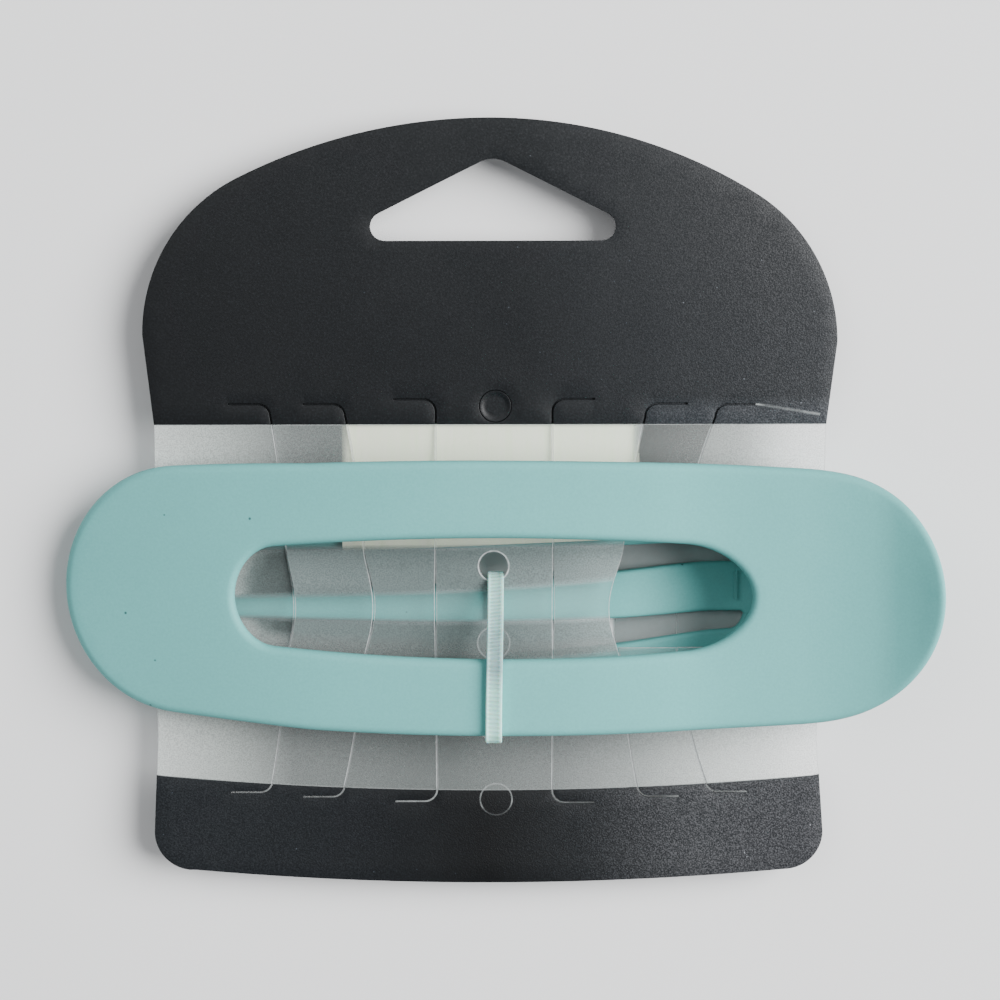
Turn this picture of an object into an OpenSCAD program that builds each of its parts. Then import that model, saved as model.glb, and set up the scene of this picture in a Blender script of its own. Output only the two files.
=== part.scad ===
// Hair styling clip tied onto its display card.
// X runs along the clip to its thumb tails, Y to the card's hanging end, Z up.
// The origin is the middle of the whole thing, on the surface that the clip lies on.

/* [Clip] */
// Length over both ends of the clip
clip_len = 111; // [108:1:114]
// Widest width of the upper jaw
jaw_w = 34.7; // [33.5:0.1:35]
// Wall of the upper jaw, measured upright
jaw_t = 2.3; // [2:0.1:2.5]
// Height of the upper jaw's top face at its front tip
tip_top = 4.9; // [4.9:0.1:5.2]
// Rise of the arched top from the tip to its crest
arch_rise = 9; // [8.5:0.1:9.5]
// Height of the flat tail zone under the crest
tail_drop = 1.5; // [1.4:0.1:1.6]
// Distance from the card's middle line down to the clip's middle line
clip_drop = 10.9; // [10.5:0.1:11.3]

/* [Slot in the upper jaw] */
// Front end of the slot
slot_x0 = -33.4; // [-34:0.1:-32]
// Rear end of the slot
slot_x1 = 31.8; // [31:0.1:32]
// Widest width of the slot
slot_w = 15.3; // [15:0.1:15.6]

/* [Lower jaw] */
// Widest width of the lower jaw
lower_w = 23.6; // [22.5:0.1:24]
// Wall of the lower jaw's front
lower_t = 2.1; // [1.9:0.1:2.2]
// Height of the lower jaw's front under the card
lower_top = 3.3; // [3.2:0.05:3.35]
// Thickness of the flat tail, which lies on the surface
tail_t = 1.6; // [1.4:0.1:1.7]
// How far the sprung front sits to one side
lower_lean = 2; // [0:0.1:2]
// Widest width of the two windows and the bar between them
window_w = 14.2; // [13.8:0.1:14.4]

/* [Hinge] */
// Place of the hinge line along the clip
pivot_x = 35; // [34.5:0.1:35.5]
// Height of the hinge line
pivot_z = 6.1; // [6:0.05:6.2]
// Radius of the hinge pin
pin_r = 1; // [0.9:0.05:1.1]
// Gap between the pin and its holes
pin_gap = 0.04; // [0.02:0.01:0.08]
// Radius of the lugs round the pin
lug_r = 2.8; // [2.6:0.1:3]

/* [Card] */
// Widest width of the card
card_w = 88; // [87:0.1:88.5]
// Height of the card
card_h = 98; // [97.5:0.1:98.5]
// Thickness of the plastic sheet
film_t = 0.45; // [0.4:0.05:0.5]
// Height of the sheet's underside
film_z = 4.6; // [4.6:0.05:4.7]
// Width of the strips' slits
slit_w = 0.3; // [0.25:0.05:0.4]
// Thickness of the paper label behind the window
label_t = 0.2; // [0.1:0.05:0.2]

/* [Zip tie] */
// Width of the tie's strap
tie_w = 2.2; // [2:0.1:2.4]

/* [Hidden] */
$fn = 96;
large_fn = 720;

TEAL = [0.56, 0.75, 0.74];
STEEL = [0.72, 0.72, 0.74];
PRINT_BLACK = [0.12, 0.13, 0.14];
FROSTED = [0.82, 0.86, 0.86, 0.6];
CREAM = [0.91, 0.9, 0.84];
NATURAL = [0.86, 0.94, 0.93];

clip_y = -clip_drop;
half_len = clip_len / 2;
reach = 200;

// Upper jaw, side view
crest_x = 7.9;
crest_z = tip_top + arch_rise;
front_r = (pow(half_len + crest_x, 2) + arch_rise * arch_rise) / (2 * arch_rise);
back_r = 110;
back_x = 22;
back_z = crest_z - back_r + sqrt(back_r * back_r - pow(back_x - crest_x, 2));
flat_z = crest_z - tail_drop;
dip_slope = asin((back_x - crest_x) / back_r);
dip_r = (back_z - flat_z) / (1 - cos(dip_slope));
flat_x = back_x + dip_r * sin(dip_slope);
thumb_x = 46.5;
thumb_r = 14;

// Ovals, seen from above. A row holds the two ends, the widest width and its place,
// the fall of the sides before and behind it, and each end's length and fullness.
X0 = 0; X1 = 1; WIDE = 2; MID = 3; FALL0 = 4; FALL1 = 5; END0 = 6; END1 = 7; FULL0 = 8; FULL1 = 9;
JAW = [-half_len, half_len, jaw_w, -2, 0.00103, 0.00073, 14.6, 19, 2.3, 3];
SLOT = [slot_x0, slot_x1, slot_w, 0, 0.0016, 0.0016, 4.9, 8.4, 2, 2];
LOWER = [1.8 - half_len, half_len - 0.6, lower_w, -10, 0.0006, 0.0009, 10, 11, 2.2, 2];
WINDOW = [-38, 32, window_w, -14, 0.0004, 0.0008, 8, 2.4, 2, 3];

// Sideways lean of each jaw: how far its front sits to one side, where it is full, where it starts
LEAN_BY = 0; LEAN_FULL = 1; LEAN_START = 2;
UPPER_LEAN = [0.6, -48, -24];
LOWER_LEAN = [-lower_lean, -13, 27];

// Lower jaw
bar_tip_w = 2.6;
bar_rear_w = 6.4;
bar_rear_x = 23;
wedge_x = 15;
rear_x = 26;
rest_x = -47;

// Hinge
lower_lug_y = 3.3;
lug_t = 1.5;
lug_side_gap = 0.2;
upper_lug_y = lower_lug_y + lug_t + lug_side_gap;
pin_head_r = 1.8;
pin_head_t = 0.5;
pin_end = upper_lug_y + lug_t + 0.1;
coil_in = 1.3;
coil_out = 2.3;
coil_half = 3;
leg_r = 0.4;
leg_y = 2.4;

// Card
film_x = -1.1;
card_mid_x = -0.7;
left_top_r = 71.3;
right_top_r = 64;
shoulder_r = 22;
card_half = card_w / 2;
neck_in = 1.3;
right_waist_in = 2.1;
right_foot_in = 1.2;
left_waist_in = 1.2;
left_foot_in = 0.6;
foot_r = 5;
bottom_r = 420;
header_y = 10.4;
footer_y = -34.8;
footer_bow = 2.1;
gap_x0 = 16;
gap_x1 = 39.8;
gap_half = 7.5;
hole_r = 1.9;
hole_y = -7.6;
tie_t = 0.95;
tie_gap = 0.15;
tie_head = [4.6, 3.8, 2.4];
tie_hole_y = clip_y - jaw_w / 2 - tie_gap;

// Slits, one row each: place of the top end, middle and bottom end, height of the two ends,
// side that the hooks turn to
TOP_X = 0; BOW_X = 1; FOOT_X = 2; TOP_Y = 3; FOOT_Y = 4; HOOK = 5;
SLITS = [[-29, -25.6, -29.2, 13, -37.1, -1], [-19.5, -16, -19.9, 13, -37.7, -1],
         [-8, -8.1, -8, 13.6, -38.3, -1], [6.8, 6.9, 6.8, 13.6, -38.5, 1],
         [18.6, 15.1, 17.7, 13, -37.7, 1], [27.5, 22.6, 26.5, 12.9, -37.1, 1]];
hook_r = 1.6;
hook_len = 3.8;

function end_factor(u, full) = u <= 0 ? 1 : u >= 1 ? 0 : sqrt(1 - pow(u, full));
function oval_side(x, o) =
    o[WIDE] / 2 - (x < o[MID] ? o[FALL0] : o[FALL1]) * pow(x - o[MID], 2);
function oval_half(x, o) = oval_side(x, o)
    * end_factor((o[X0] + o[END0] - x) / o[END0], o[FULL0])
    * end_factor((x - o[X1] + o[END1]) / o[END1], o[FULL1]);
function lean_at(x, row) = row[LEAN_BY]
    * sin(90 * min(1, max(0, (row[LEAN_START] - x) / (row[LEAN_START] - row[LEAN_FULL]))));
function arc_points(c, r, a0, a1, n) =
    [for (i = [0:n]) c + r * [cos(a0 + (a1 - a0) * i / n), sin(a0 + (a1 - a0) * i / n)]];
function mirrored(points) = [for (i = [len(points) - 1:-1:0]) [-points[i][0], points[i][1]]];

module oval(o, lean = [0, 0, 1]) {
    steps = 48;
    mid = (o[X0] + o[X1]) / 2;
    half = (o[X1] - o[X0]) / 2;
    xs = [for (i = [0:steps]) mid - half * cos(180 * i / steps)];
    polygon(concat(
        [for (x = xs) [x, oval_half(x, o) + lean_at(x, lean)]],
        [for (i = [steps - 1:-1:1]) [xs[i], lean_at(xs[i], lean) - oval_half(xs[i], o)]]));
}

module across(w) {
    rotate([90, 0, 0]) linear_extrude(w, center = true) children();
}

module strip(x0, x1, top) {
    translate([x0, -reach]) square([x1 - x0, top + reach]);
}

// Everything under the upper jaw's top line
module under_arch() {
    intersection() {
        translate([crest_x, crest_z - front_r]) circle(front_r, $fn = large_fn);
        strip(-half_len - 1, crest_x, crest_z);
    }
    intersection() {
        translate([crest_x, crest_z - back_r]) circle(back_r, $fn = large_fn);
        strip(crest_x, back_x, crest_z);
    }
    difference() {
        strip(back_x, flat_x, crest_z);
        translate([flat_x, flat_z + dip_r]) circle(dip_r, $fn = large_fn);
    }
    strip(flat_x, thumb_x, flat_z);
    difference() {
        strip(thumb_x, half_len + 1, flat_z + thumb_r / 2);
        translate([thumb_x, flat_z + thumb_r]) circle(thumb_r);
    }
}

module lug(side_y, foot_z) {
    for (side = [-1, 1])
        translate([pivot_x, side * (side_y + lug_t / 2), pivot_z]) across(lug_t) difference() {
            union() {
                circle(lug_r);
                translate([-lug_r, min(0, foot_z - pivot_z)]) square([2 * lug_r, abs(foot_z - pivot_z)]);
            }
            circle(pin_r + pin_gap);
        }
}

module upper_jaw() {
    color(TEAL) translate([0, clip_y, 0]) {
        difference() {
            intersection() {
                across(jaw_w + 2) difference() {
                    under_arch();
                    translate([0, -jaw_t]) under_arch();
                }
                linear_extrude(crest_z + 8) oval(JAW, UPPER_LEAN);
            }
            linear_extrude(crest_z + 9) oval(SLOT);
        }
        lug(upper_lug_y, flat_z - jaw_t / 2);
    }
}

module lower_side() {
    polygon([[-half_len, 0], [-half_len, tail_t + 0.3], [-40, lower_top], [wedge_x, lower_top],
             [rear_x, tail_t], [half_len, tail_t], [half_len, 0], [rear_x - 2, 0],
             [wedge_x - 1, lower_top - lower_t], [-40, lower_top - lower_t], [rest_x, 0]]);
}

// The bar widens from the tip to bar_rear_x and then runs on straight
module bar() {
    steps = 24;
    rows = [for (i = [0:steps]) let (t = i / steps, x = bar_rear_x * t - half_len * (1 - t))
        [x, lean_at(x, LOWER_LEAN), (bar_tip_w + (bar_rear_w - bar_tip_w) * t) / 2]];
    polygon(concat(
        [for (row = rows) [row[0], row[1] + row[2]]],
        [[pivot_x, bar_rear_w / 2], [pivot_x, -bar_rear_w / 2]],
        [for (i = [steps:-1:0]) [rows[i][0], rows[i][1] - rows[i][2]]]));
}

module lower_jaw() {
    color(TEAL) translate([0, clip_y, 0]) {
        intersection() {
            across(lower_w + 10) lower_side();
            linear_extrude(lower_top + 1) difference() {
                oval(LOWER, LOWER_LEAN);
                difference() {
                    oval(WINDOW, LOWER_LEAN);
                    bar();
                }
            }
        }
        lug(lower_lug_y, tail_t / 2);
    }
}

module hinge_pin() {
    color(STEEL) translate([pivot_x, clip_y, pivot_z]) rotate([90, 0, 0]) {
        cylinder(h = 2 * pin_end, r = pin_r, center = true);
        for (side = [-1, 1])
            translate([0, 0, side * (pin_end + pin_head_t / 2)])
                cylinder(h = pin_head_t, r = pin_head_r, center = true);
    }
}

// Leg of the spring from the coil's rim to a point of the side view
module leg(rim, tip, y) {
    run = tip - rim;
    translate([rim[0], y, rim[1]]) rotate([0, 90 - atan2(run[1], run[0]), 0])
        cylinder(h = norm(run), r = leg_r, $fn = 24);
}

module torsion_spring() {
    rim = (coil_in + coil_out) / 2;
    color(STEEL) translate([0, clip_y, 0]) {
        translate([pivot_x, 0, pivot_z]) rotate([90, 0, 0]) difference() {
            cylinder(h = 2 * coil_half, r = coil_out, center = true);
            cylinder(h = 3 * coil_half, r = coil_in, center = true);
        }
        leg([pivot_x, pivot_z + rim], [44.5, flat_z - jaw_t - leg_r - 0.2], leg_y);
        leg([pivot_x, pivot_z - rim], [38.8, tail_t + leg_r + 0.1], -leg_y);
    }
}

// One side of the card, from the middle of its top to the middle of its bottom
function card_side(top_r, waist_in, foot_in) = concat(
    let (turn = asin((card_half - shoulder_r) / (top_r - shoulder_r)),
         y = card_h / 2 - top_r + (top_r - shoulder_r) * cos(turn))
        concat(arc_points([0, card_h / 2 - top_r], top_r, 90, 90 - turn, 12),
               arc_points([card_half - shoulder_r, y], shoulder_r, 90 - turn, 0, 12)),
    [[card_half - neck_in, header_y], [card_half - waist_in, -30]],
    arc_points([card_half - foot_in - foot_r, 6.7 - card_h / 2], foot_r, 0, -84, 8),
    arc_points([0, bottom_r - card_h / 2], bottom_r, -84.8, -90, 4));

module card_outline() {
    translate([film_x, 0]) polygon(concat(
        card_side(right_top_r, right_waist_in, right_foot_in),
        mirrored(card_side(left_top_r, left_waist_in, left_foot_in))));
}

// Rounded three-cornered hole that a hook goes through
module hang_hole() {
    apex_r = 3.5;
    foot = 1.8;
    apex = [0, 40.35];
    corner = [13.7, 35.4];
    run = corner - apex;
    turn = atan2(run[1], run[0]) + acos((apex_r - foot) / norm(run));
    right = concat(arc_points(apex, apex_r, 90, turn, 8), arc_points(corner, foot, turn, -90, 12));
    translate([card_mid_x, 0]) polygon(concat(right, mirrored(right)));
}

// Middle line of one slit: a long bowed stretch with a rounded hook at each end
function slit_path(row) =
    let (side = row[HOOK], top = row[TOP_Y] - hook_r, foot = row[FOOT_Y] + hook_r,
         bow = (row[TOP_X] + row[FOOT_X]) / 2 - row[BOW_X], lean = (row[TOP_X] - row[FOOT_X]) / 2,
         turn = side > 0 ? 180 : 0, tip = side * (hook_r + hook_len))
    concat(
        [[row[TOP_X] + tip, row[TOP_Y]]],
        arc_points([row[TOP_X] + side * hook_r, top], hook_r, 90, turn, 5),
        [for (i = [1:15]) let (t = 1 - i / 8)
            [row[BOW_X] + bow * t * t + lean * t, (top + foot) / 2 + (top - foot) / 2 * t]],
        arc_points([row[FOOT_X] + side * hook_r, foot], hook_r, turn == 0 ? 0 : -180, -90, 5),
        [[row[FOOT_X] + tip, row[FOOT_Y]]]);
function side_step(path, i) =
    let (run = path[min(i + 1, len(path) - 1)] - path[max(i - 1, 0)])
    [-run[1], run[0]] / norm(run) * slit_w / 2;

module slit(row) {
    path = slit_path(row);
    last = len(path) - 1;
    polygon(concat([for (i = [0:last]) path[i] + side_step(path, i)],
                   [for (i = [last:-1:0]) path[i] - side_step(path, i)]));
}

module card_sheet() {
    translate([0, 0, film_z]) linear_extrude(film_t) difference() {
        intersection() {
            card_outline();
            children();
        }
        hang_hole();
        for (row = SLITS) slit(row);
        translate([gap_x0, clip_y - gap_half]) square([gap_x1 - gap_x0, 2 * gap_half]);
        translate([card_mid_x, hole_y]) circle(hole_r);
        translate([card_mid_x, tie_hole_y]) circle(hole_r);
    }
}

module above_header_line() {
    translate([-reach, header_y]) square([2 * reach, reach]);
}

// Below the footer's bowed print line
module below_footer_line() {
    polygon(concat(
        [for (i = [-6:6]) [film_x + card_half * i / 6, footer_y - footer_bow * (1 - i * i / 36)]],
        [[reach, footer_y], [reach, -reach], [-reach, -reach], [-reach, footer_y]]));
}

module card_header() {
    color(PRINT_BLACK) card_sheet() above_header_line();
}

module card_window() {
    color(FROSTED) card_sheet() difference() {
        square(reach, center = true);
        above_header_line();
        below_footer_line();
    }
}

module card_footer() {
    color(PRINT_BLACK) card_sheet() below_footer_line();
}

module back_label() {
    color(CREAM) translate([0, 0, film_z - label_t]) linear_extrude(label_t)
        polygon([[-20, -5.9], [gap_x0 - 0.2, -4.4], [gap_x0 - 0.2, clip_y + gap_half],
                 [17.9, clip_y + gap_half], [17.9, header_y + 1], [-20, header_y + 1]]);
}

// A closed loop in the card's upright cross plane, and its head under the card
module zip_tie() {
    rail_z = crest_z - 0.2;
    far_y = tie_hole_y - tie_t;
    rail_y = clip_y - slot_w / 2;
    low_z = film_z - 0.25 - tie_t;
    high_z = rail_z + tie_gap + tie_t;
    outer = [[hole_y + 0.6, low_z], [hole_y + 0.6, film_z + 0.1], [rail_y + 0.8, high_z],
             [far_y + 0.7, high_z], [far_y, high_z - 0.75], [far_y, low_z]];
    inner = [[hole_y - 0.7, low_z + tie_t], [rail_y + 0.3, rail_z + tie_gap],
             [far_y + tie_t + 0.2, rail_z + tie_gap], [far_y + tie_t, rail_z - 0.1],
             [far_y + tie_t, low_z + tie_t]];
    color(NATURAL) translate([card_mid_x, 0, 0]) {
        rotate([90, 0, 90]) linear_extrude(tie_w, center = true) difference() {
            polygon(outer);
            polygon(inner);
        }
        translate([-tie_head[0] / 2, far_y, low_z - tie_head[2] + 0.1]) cube(tie_head);
    }
}

upper_jaw();
lower_jaw();
hinge_pin();
torsion_spring();
card_header();
card_window();
card_footer();
back_label();
zip_tie();
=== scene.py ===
import math
import bpy
import bmesh
import numpy as np
from mathutils import Matrix, Vector
from mathutils.geometry import delaunay_2d_cdt


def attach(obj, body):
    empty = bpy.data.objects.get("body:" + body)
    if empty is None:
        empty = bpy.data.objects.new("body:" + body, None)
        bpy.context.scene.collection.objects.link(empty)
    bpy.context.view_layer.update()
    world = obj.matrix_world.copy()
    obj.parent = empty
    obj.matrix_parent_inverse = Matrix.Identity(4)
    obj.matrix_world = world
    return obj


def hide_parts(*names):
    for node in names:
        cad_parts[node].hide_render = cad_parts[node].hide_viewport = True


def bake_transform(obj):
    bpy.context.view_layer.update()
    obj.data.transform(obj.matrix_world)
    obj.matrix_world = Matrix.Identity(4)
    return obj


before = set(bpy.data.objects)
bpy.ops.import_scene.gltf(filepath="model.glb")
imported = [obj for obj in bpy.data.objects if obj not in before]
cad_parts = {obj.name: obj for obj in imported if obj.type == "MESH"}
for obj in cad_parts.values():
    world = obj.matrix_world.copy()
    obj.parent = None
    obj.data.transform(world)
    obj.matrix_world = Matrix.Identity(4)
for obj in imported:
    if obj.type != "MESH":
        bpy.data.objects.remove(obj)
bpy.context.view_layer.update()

# All sizes below are in millimetres, and the mesh makers turn them into metres.
MM = 0.001

# The clip, as in the model
CLIP_Y = -10.9
HALF_LEN = 55.5
JAW_W = 34.7
JAW_T = 2.3
TIP_TOP = 4.9
ARCH_RISE = 9.0
TAIL_DROP = 1.5
CREST_X = 7.9
CREST_Z = TIP_TOP + ARCH_RISE
FRONT_R = ((HALF_LEN + CREST_X) ** 2 + ARCH_RISE ** 2) / (2 * ARCH_RISE)
BACK_R = 110.0
BACK_X = 22.0
BACK_Z = CREST_Z - BACK_R + math.sqrt(BACK_R ** 2 - (BACK_X - CREST_X) ** 2)
FLAT_Z = CREST_Z - TAIL_DROP
DIP_SLOPE = math.asin((BACK_X - CREST_X) / BACK_R)
DIP_R = (BACK_Z - FLAT_Z) / (1 - math.cos(DIP_SLOPE))
FLAT_X = BACK_X + DIP_R * math.sin(DIP_SLOPE)
THUMB_X = 46.5
THUMB_R = 14.0
LOWER_TOP = 3.3
LOWER_T = 2.1
TAIL_T = 1.6
BAR_TIP_W = 2.6
BAR_REAR_W = 6.4
BAR_REAR_X = 23.0
RIB_X0 = 30.3
RIB_X1 = 30.7

# Sideways lean of each jaw: how far its front sits to one side, where it is full, where it starts
UPPER_LEAN = (0.6, -48, -24)
LOWER_LEAN = (-2.0, -13, 27)
NO_LEAN = (0.0, 0, 1)

# Ovals seen from above: their ends, widest width and its place, the fall of the sides,
# and the length and fullness of each end
JAW = dict(x0=-HALF_LEN, x1=HALF_LEN, wide=JAW_W, mid=-2, fall0=0.00103, fall1=0.00073,
           end0=14.6, end1=19, full0=2.3, full1=3)
SLOT = dict(x0=-33.4, x1=31.8, wide=15.3, mid=0, fall0=0.0016, fall1=0.0016,
            end0=4.9, end1=8.4, full0=2, full1=2)
LOWER = dict(x0=1.8 - HALF_LEN, x1=HALF_LEN - 0.6, wide=23.6, mid=-10, fall0=0.0006, fall1=0.0009,
             end0=10, end1=11, full0=2.2, full1=2)
WINDOW = dict(x0=-38, x1=32, wide=14.2, mid=-14, fall0=0.0004, fall1=0.0008,
              end0=8, end1=2.4, full0=2, full1=3)

# The hinge
PIVOT = Vector((35.0, CLIP_Y, 6.1))
LUG_R = 2.8
LUG_T = 1.5
LUG_HOLE_R = 1.04
LOWER_LUG_Y = 3.3
UPPER_LUG_Y = 5.0
COIL_R = 1.8
WIRE_R = 0.4

# The card
FILM_Z = 4.6
FILM_T = 0.45
CARD_TOP = FILM_Z + FILM_T
FILM_X = -1.1
CARD_W = 88.0
CARD_H = 98.0
CARD_HALF = CARD_W / 2
LEFT_TOP_R = 71.3
RIGHT_TOP_R = 64.0
SHOULDER_R = 22.0
FOOT_R = 5.0
FOOT_TURN_Y = 6.7 - CARD_H / 2
BOTTOM_R = 420.0
CARD_MID_X = -0.7
NECK_IN = 1.3
WAIST_Y = -30.0
RIGHT_IN = (2.1, 1.2)
LEFT_IN = (1.2, 0.6)
HEADER_Y = 10.4
FOOTER_Y = -34.8
FOOTER_BOW = 2.1
GAP_X0 = 16.0
GAP_X1 = 39.8
GAP_HALF = 7.5
HOLE_R = 1.9
HOLE_Y = -7.6
MARK_X = CARD_MID_X + 0.27
HEADER_MARK_Y = 12.7
WINDOW_MARK_Y = -17.5
FOOTER_MARK_Y = -38.05
MARK_R = 2.0
MARK_RIM_R = 2.05
RIM_W = 0.3
SLIT_SHOWN_W = 0.24
STRIP_GAP = 0.03
HOOK_R = 1.6
HOOK_LEN = 3.8

# Slits, one row each: x of the top end, middle and bottom end, y of both ends, side of the hooks
SLITS = [(-29, -25.6, -29.2, 13, -37.1, -1), (-19.5, -16, -19.9, 13, -37.7, -1),
         (-8, -8.1, -8, 13.6, -38.3, -1), (6.8, 6.9, 6.8, 13.6, -38.5, 1),
         (18.6, 15.1, 17.7, 13, -37.7, 1), (27.5, 22.6, 26.5, 12.9, -37.1, 1)]

# How each slit bends between the jaws: its sideways shift, and its bend back over the reach
# around the bends' middle
BENDS = [(-1.4, 0.9), (-1.05, 1.1), (0, 0), (0, 0), (0.45, -1.4), (0, 0)]
BEND_Y = -13.0
BEND_REACH = 8.0
BEND_GAP = 0.06

# The label's corners, anticlockwise
LABEL = [(-20, -5.9), (GAP_X0 - 0.2, -4.4), (GAP_X0 - 0.2, CLIP_Y + GAP_HALF),
         (17.9, CLIP_Y + GAP_HALF), (17.9, HEADER_Y + 1), (-20, HEADER_Y + 1)]

# The tie
TIE_W = 2.05
TIE_T = 0.85
TIE_GAP = 0.15
TIE_LEAN = 0.28
TIE_STEP = 0.11
RIB_DEPTH = 0.18
RIB_STEPS = 5
HEAD_W = 4.6
HEAD_LEN = 3.8
HEAD_H = 2.3
TIE_HOLE_Y = CLIP_Y - JAW_W / 2 - TIE_GAP


def smooth(t):
    t = min(1.0, max(0.0, t))
    return t * t * (3 - 2 * t)


def half_width(x, o):
    side = o["wide"] / 2 - (o["fall0"] if x < o["mid"] else o["fall1"]) * (x - o["mid"]) ** 2
    for u, full in (((o["x0"] + o["end0"] - x) / o["end0"], o["full0"]),
                    ((x - o["x1"] + o["end1"]) / o["end1"], o["full1"])):
        if u > 0:
            side *= math.sqrt(max(0.0, 1 - u ** full))
    return side


def lean_at(x, lean):
    by, full, start = lean
    return by * math.sin(math.pi / 2 * min(1, max(0, (start - x) / (start - full))))


def oval_loop(o, lean=NO_LEAN):
    """The oval's outline, anticlockwise, centred on the clip's middle line."""
    n = 720
    mid = (o["x0"] + o["x1"]) / 2
    half = (o["x1"] - o["x0"]) / 2
    loop = []
    for i in range(n):
        t = 2 * math.pi * i / n
        x = mid - half * math.cos(t)
        y = -half_width(x, o) if t < math.pi else half_width(x, o)
        loop.append((x, CLIP_Y + y + lean_at(x, lean)))
    return loop


def arch_z(x, y):
    """Height of the upper jaw's top face."""
    if x <= CREST_X:
        return CREST_Z - FRONT_R + math.sqrt(FRONT_R ** 2 - (x - CREST_X) ** 2)
    if x <= BACK_X:
        return CREST_Z - BACK_R + math.sqrt(BACK_R ** 2 - (x - CREST_X) ** 2)
    if x <= FLAT_X:
        return FLAT_Z + DIP_R - math.sqrt(DIP_R ** 2 - (x - FLAT_X) ** 2)
    if x <= THUMB_X:
        return FLAT_Z
    return FLAT_Z + THUMB_R - math.sqrt(THUMB_R ** 2 - (x - THUMB_X) ** 2)


def along(x, stations):
    """A height read off a short list of (x, height) stations with eased steps between."""
    for (xa, za), (xb, zb) in zip(stations, stations[1:]):
        if x <= xb:
            return za + (zb - za) * smooth((x - xa) / (xb - xa))
    return stations[-1][1]


def lower_top_z(x, y):
    return along(x, [(-HALF_LEN, TAIL_T + 0.3), (-40, LOWER_TOP), (15, LOWER_TOP), (26, TAIL_T)])


def lower_bottom_z(x, y):
    return along(x, [(-47, 0), (-40, LOWER_TOP - LOWER_T), (14, LOWER_TOP - LOWER_T), (24, 0)])


# Mesh makers

# Points handled at once, to spare memory
BLOCK = 1000


def resample(loop, spacing, keep=180):
    """The closed outline again at even steps. Corners that turn by more than keep degrees stay."""
    p = np.array(loop, float)
    p = p[np.hypot(*(p - np.roll(p, 1, axis=0)).T) > 1e-6]
    run = np.roll(p, -1, axis=0) - p
    heading = np.arctan2(run[:, 1], run[:, 0])
    turn = np.abs((heading - np.roll(heading, 1) + math.pi) % (2 * math.pi) - math.pi)
    corners = np.flatnonzero(turn > math.radians(keep))
    first = corners[0] if len(corners) else 0
    stops = [int(c - first) for c in corners] or [0]
    least = 1 if len(corners) else 12
    p = np.roll(p, -first, axis=0)
    p = np.vstack([p, p[:1]])
    made = []
    for a, b in zip(stops, stops[1:] + [len(p) - 1]):
        part = p[a:b + 1]
        lengths = np.r_[0, np.cumsum(np.hypot(*np.diff(part, axis=0).T))]
        n = max(least, int(round(lengths[-1] / spacing)))
        at = np.linspace(0, lengths[-1], n, endpoint=False)
        made += zip(np.interp(at, lengths, part[:, 0]), np.interp(at, lengths, part[:, 1]))
    return made


def shifted(path, d, closed=True):
    """The outline, or an open path, moved by d to the left of its direction of travel."""
    p = np.array(path, float)
    run = np.roll(p, -1, axis=0) - np.roll(p, 1, axis=0) if closed else np.gradient(p, axis=0)
    run /= np.maximum(np.hypot(run[:, 0], run[:, 1]), 1e-9)[:, None]
    return [tuple(q) for q in p + d * np.stack([-run[:, 1], run[:, 0]], 1)]


def inside(points, loops):
    """Which points lie within an odd number of the loops."""
    p = np.array(points, float)
    hits = np.zeros(len(p), int)
    for loop in loops:
        a = np.array(loop, float)
        b = np.roll(a, -1, axis=0)
        for (ax, ay), (bx, by) in zip(a, b):
            if ay == by:
                continue
            cross = (ay > p[:, 1]) != (by > p[:, 1])
            hits += cross & (p[:, 0] < (bx - ax) * (p[:, 1] - ay) / (by - ay) + ax)
    return hits % 2 == 1


def depth_inside(points, loops):
    """How deep each point lies inside the outlines, and less than nothing outside them."""
    p = np.array(points, float)
    nearest = np.full(len(p), 1e9)
    for loop in loops:
        a = np.array(loop, float)
        run = np.roll(a, -1, axis=0) - a
        square = np.maximum((run ** 2).sum(1), 1e-12)
        for first in range(0, len(p), BLOCK):
            gap = p[first:first + BLOCK, None] - a[None]
            t = np.clip((gap * run[None]).sum(2) / square[None], 0, 1)
            far = np.linalg.norm(gap - t[..., None] * run[None], axis=2).min(1)
            nearest[first:first + BLOCK] = np.minimum(nearest[first:first + BLOCK], far)
    return np.where(inside(p, loops), nearest, -nearest)


def fill(loops, spacing):
    """Triangles that fill the first loop less the others, with inner points on an even lattice."""
    edge_points = [q for loop in loops for q in loop]
    edges = []
    base = 0
    for loop in loops:
        edges += [(base + i, base + (i + 1) % len(loop)) for i in range(len(loop))]
        base += len(loop)
    outline = np.array(edge_points, float)
    lo, hi = outline.min(0), outline.max(0)
    row_step = spacing * 0.866
    lattice = []
    for row, y in enumerate(np.arange(lo[1] + spacing / 2, hi[1], row_step)):
        for x in np.arange(lo[0] + (row % 2) * spacing / 2, hi[0], spacing):
            lattice.append((x, y))
    lattice = np.array(lattice)
    keep = inside(lattice, loops)
    for start in range(0, len(lattice), BLOCK):
        block = lattice[start:start + BLOCK]
        gap = np.hypot(block[:, None, 0] - outline[None, :, 0], block[:, None, 1] - outline[None, :, 1])
        keep[start:start + BLOCK] &= gap.min(1) > spacing * 0.55
    points = [Vector(q) for q in edge_points] + [Vector(q) for q in lattice[keep]]
    verts, _, faces = delaunay_2d_cdt(points, edges, [], 0, 1e-5)[:3]
    middles = [sum((verts[i] for i in f), Vector((0, 0))) / len(f) for f in faces]
    good = inside(middles, loops)
    return verts, [f for f, ok in zip(faces, good) if ok]


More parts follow.
